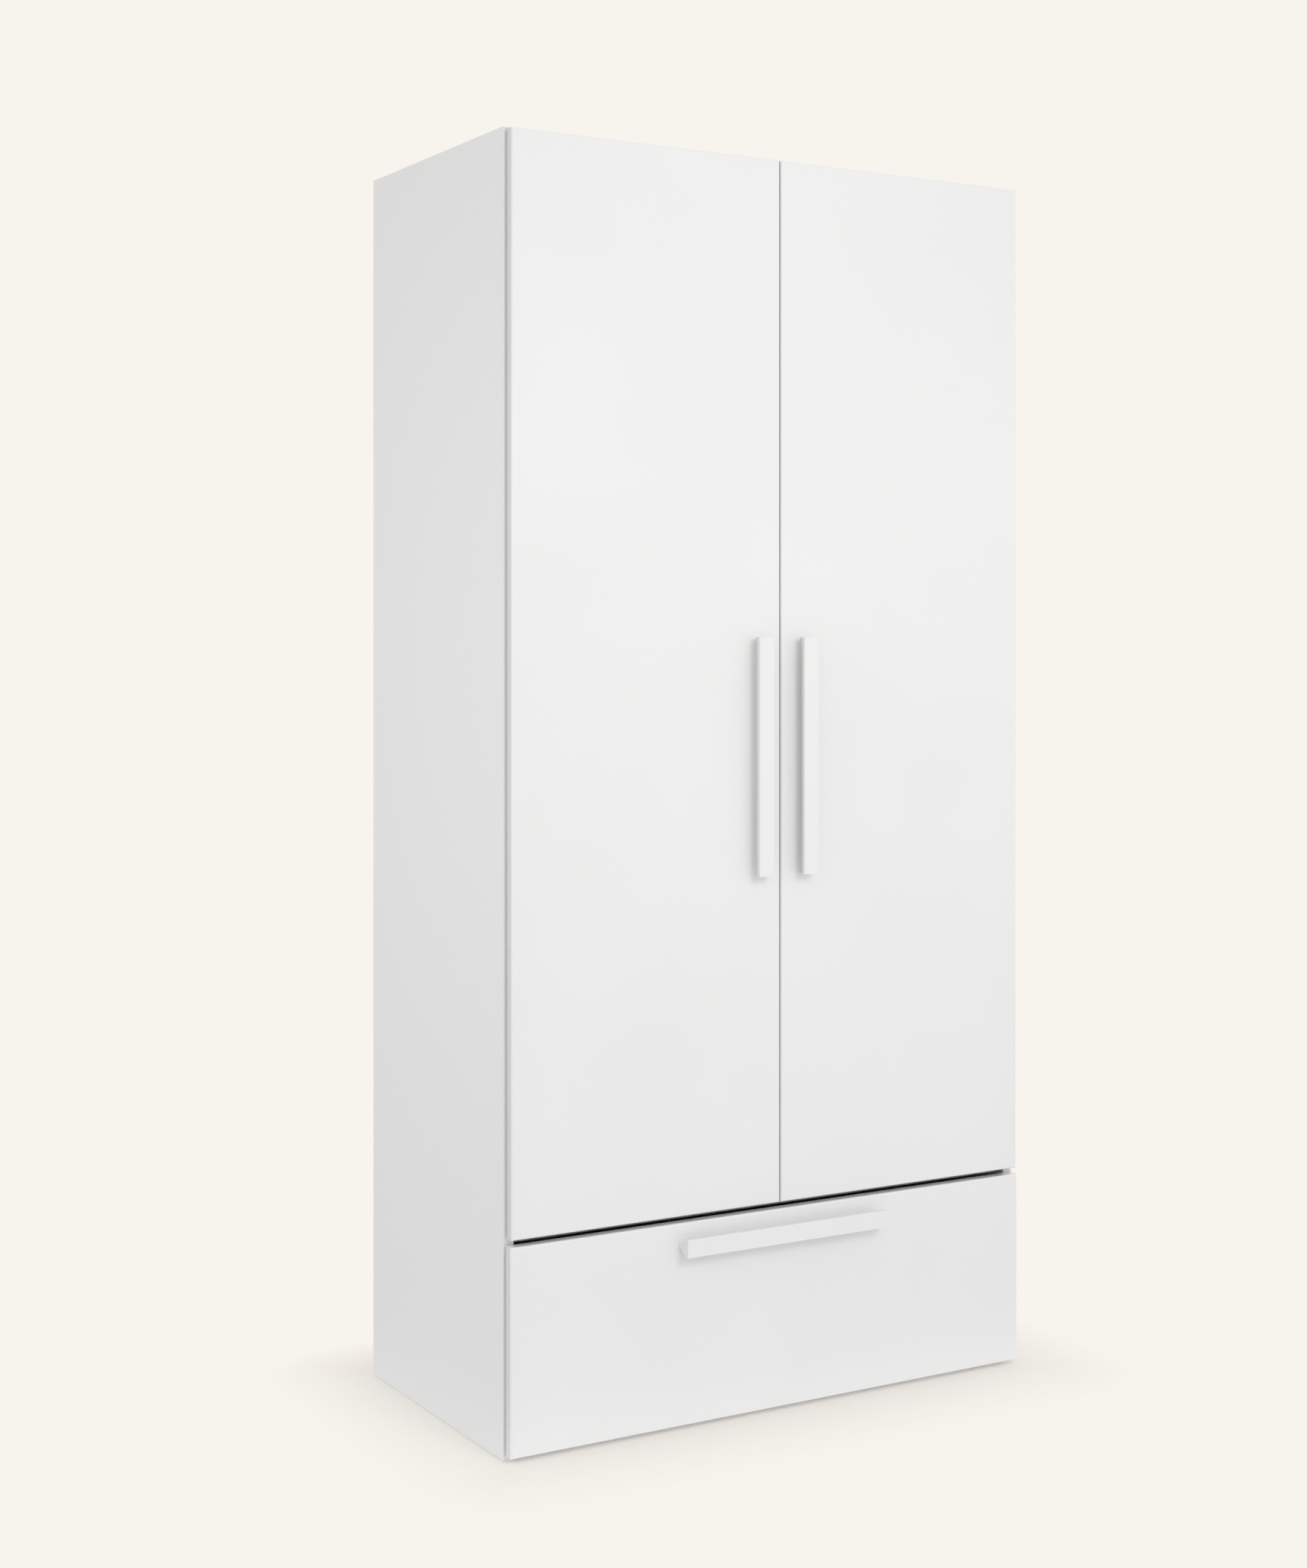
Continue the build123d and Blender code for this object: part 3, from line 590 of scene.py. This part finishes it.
def edgedBoard(name, node, cutters=(), rawBack=True, body="root"):
    # the board's core and a rounded edge band along its front, with a hairline seam between them
    low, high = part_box(node)
    seamY = low.y + boardShape["band"]
    core = cuboid(name, (low.x, seamY, low.z), high)
    band = cuboid(name + "Band", low, (high.x, seamY, high.z))
    atFront = onPlane("y", low.y)
    bevelWhere(core, lambda a, b: True, boardShape["seam"], 1)
    bevelWhere(band, lambda a, b: atFront(a) and atFront(b), boardShape["bandRounding"], 4)
    if cutters:
        cutAway(core, list(cutters))
    piece = joined(name, [core, band])
    smoothed(piece)
    return finishPiece(piece, body, [node], boardMaterial(node, rawBack))


pinShape = {"rowY": (-170 * mm, 205 * mm), "firstZ": 511 * mm, "stepZ": 64 * mm, "count": 16,
            "radius": 2.5 * mm, "depth": 9 * mm, "vertices": 16}
camShape = {"rowY": (-160 * mm, 200 * mm), "fromEnd": 24 * mm, "radius": 7.5 * mm, "depth": 12.5 * mm,
            "vertices": 32}
rabbetShape = {"width": 9 * mm}


def pinRows(faceX, into):
    # the two rows of shelf pin holes in the side of a board
    holes = []
    for y in pinShape["rowY"]:
        for step in range(pinShape["count"]):
            start = (faceX - into * mm, y, pinShape["firstZ"] + pinShape["stepZ"] * step)
            holes.append(cylinder("pinHole", "x", pinShape["radius"], start, into * (pinShape["depth"] + mm),
                                  pinShape["vertices"]))
    return holes


def camBores(node):
    low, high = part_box(node)
    starts = [(side * (high.x - camShape["fromEnd"]), y, low.z - mm) for side in (-1, 1) for y in camShape["rowY"]]
    return [cylinder("camBore", "z", camShape["radius"], start, camShape["depth"] + mm, camShape["vertices"])
            for start in starts]


def backRabbet(side):
    low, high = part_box("side_panel_right")
    corners = sorted((side * (low.x - mm), side * (low.x + rabbetShape["width"])))
    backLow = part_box("back_panel_right")[0]
    return cuboid("rabbet", (corners[0], backLow.y, backLow.z), (corners[1], high.y + mm, high.z + mm))


edgedBoard("sidePanelLeft", "side_panel_left", [backRabbet(-1)])
rightCuts = [backRabbet(1)] + pinRows(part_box("side_panel_right")[0].x, 1)
edgedBoard("sidePanelRight", "side_panel_right", rightCuts)
for boardName, node in (("topPanel", "top_panel"), ("hatShelf", "hat_shelf"), ("fixedShelf", "fixed_shelf"),
                        ("bottomPanel", "bottom_panel")):
    edgedBoard(boardName, node, camBores(node))
edgedBoard("centreDivider", "centre_divider", pinRows(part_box("centre_divider")[1].x, -1))
for boardName, node in (("plinthRail", "plinth_rail"), ("shelfLower", "shelf_lower"),
                        ("shelfMiddle", "shelf_middle"), ("shelfUpper", "shelf_upper")):
    edgedBoard(boardName, node, rawBack=False)
print("carcass made")


# CAD nodes that keep their shape

kept = {
    "back_panel_left": hardboard("backBoardFibre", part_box("back_panel_left")[0].y + 1.5 * mm),
    "back_joint_strip": whitePlastic,
    "floor_glides": whitePlastic,
    "cam_locks": zinc,
    "cam_bolts": nickel,
    "dowels": dowelWood,
    "drawer_dowels": dowelWood,
    "back_nails": nickel,
    "wall_brackets": nickel,
    "shelf_pins": nickel,
    "clothes_rail": chrome,
    "rail_ends": whiteSteel,
    "cabinet_screws": nickel,
    "drawer_runner_screws": nickel,
    "hinge_arms": nickel,
    "hinge_plates": nickel,
    "runner_cabinet_left": whiteSteel,
    "runner_cabinet_right": whiteSteel,
    "runner_drawer_left": whiteSteel,
    "runner_drawer_right": whiteSteel,
    "cabinet_roller_axles": nickel,
    "drawer_roller_axles": nickel,
    "cabinet_rollers": whitePlastic,
    "drawer_rollers": whitePlastic,
    "handle_screws_drawer": nickel,
    "drawer_side_left": boardMaterial("drawer_side_left", False),
    "drawer_side_right": boardMaterial("drawer_side_right", False),
    "drawer_back": boardMaterial("drawer_back", False),
    "drawer_bottom": hardboard("drawerBottomBoard", 1),
}
kept["back_panel_right"] = kept["back_panel_left"]
for hand in ("left", "right"):
    for part in ("hinge_cups_", "hinge_links_", "hinge_pins_", "hinge_cup_screws_", "handle_screws_"):
        kept[part + hand] = nickel
    kept["door_buffers_" + hand] = buffer
for node, material in kept.items():
    nodes[node].data.materials.clear()
    nodes[node].data.materials.append(material)
print("finishes given to", len(kept), "nodes")


# floor, light and camera

stageLook = {"colour": (0.930, 0.896, 0.847), "bounce": (1.05, 1.05, 1.05), "fadeFrom": 0.0, "fadeTo": 0.18,
             "glow": 0.3, "albedo": 0.66}


def studioFloor():
    # a pale floor that melts into the backdrop a little way out from the wardrobe
    bpy.ops.mesh.primitive_grid_add(x_subdivisions=8, y_subdivisions=8, size=8, location=(0, 0, 0))
    floor = newest("studioFloor")
    applyPlace(floor)
    finish = newFinish("paleFloor")
    half = (Vector(cadBox[1]) - Vector(cadBox[0])) / 2
    folded = finish.add("ShaderNodeVectorMath", {"operation": "ABSOLUTE"}, {0: finish.place()})
    footprint = (half.x, half.y, 0)
    beyond = finish.add("ShaderNodeVectorMath", {"operation": "SUBTRACT"}, {0: folded, 1: footprint})
    outside = finish.add("ShaderNodeVectorMath", {"operation": "MAXIMUM"}, {0: beyond, 1: (0, 0, 0)})
    away = finish.add("ShaderNodeVectorMath", {"operation": "LENGTH"}, {0: outside}, output="Value")
    # the floor is warm to the eye, but throws a neutral light on the wardrobe
    seen = finish.add("ShaderNodeLightPath", output="Is Camera Ray")
    bounced = tuple(stageLook["albedo"] * part for part in stageLook["bounce"])
    viewed = tuple(stageLook["albedo"] * part for part in stageLook["colour"])
    finish.set(Base_Color=finish.mixed(seen, bounced, viewed), Roughness=0.9,
               Emission_Color=finish.mixed(seen, stageLook["bounce"], stageLook["colour"]),
               Emission_Strength=stageLook["glow"],
               Alpha=finish.level(away, stageLook["fadeFrom"], stageLook["fadeTo"], 1, 0))
    finish.shader.inputs["Specular IOR Level"].default_value = 0.1
    floor.data.materials.append(finish.owner)


worldLook = {"base": 0.825, "up": 0.08, "right": 0.03}


def studioWorld():
    world = bpy.data.worlds.new("studio")
    bpy.context.scene.world = world
    finish = Finish(world)
    background = finish.tree.nodes["Background"]
    direction = finish.add("ShaderNodeTexCoord", output="Generated")
    grey = (worldLook["base"] + worldLook["up"] * finish.axis("z", direction)
            + worldLook["right"] * finish.axis("x", direction))
    shade = finish.add("ShaderNodeCombineColor", {"mode": "RGB"}, {0: grey, 1: grey, 2: grey})
    seen = finish.add("ShaderNodeLightPath", output="Is Camera Ray")
    finish.feed(background.inputs["Color"], finish.mixed(seen, shade, stageLook["colour"]))


# each lamp is aimed at the middle of the wardrobe
lights = {"key": {"place": (0.0, -2.3, 1.75), "size": 0.8, "power": 11.2},
          "side": {"place": (-1.7, -0.4, 1.25), "size": 0.8, "power": 2.6}}


def softLight(name, place, size, power):
    lamp = bpy.data.lights.new(name, "AREA")
    lamp.shape = "SQUARE"
    lamp.size = size
    lamp.energy = power
    holder = bpy.data.objects.new(name, lamp)
    bpy.context.scene.collection.objects.link(holder)
    holder.location = place
    holder.rotation_euler = (Vector((0, 0, 1.0)) - Vector(place)).to_track_quat("-Z", "Y").to_euler()
    holder.visible_glossy = False
    holder.visible_camera = False


cameraLook = {"place": (-2.058, -3.331, 1.228), "yaw": 30.5, "lens": 53.4, "shiftY": -0.0906}


def viewCamera():
    camera = bpy.data.objects.new("camera", bpy.data.cameras.new("camera"))
    bpy.context.scene.collection.objects.link(camera)
    camera.location = cameraLook["place"]
    camera.rotation_euler = (pi / 2, 0, -radians(cameraLook["yaw"]))
    camera.data.lens = cameraLook["lens"]
    camera.data.shift_y = cameraLook["shiftY"]
    bpy.context.scene.camera = camera


studioFloor()
studioWorld()
for name, settings in lights.items():
    softLight(name, **settings)
viewCamera()
bpy.context.scene.view_settings.view_transform = "Standard"
print("stage, lights and camera set")
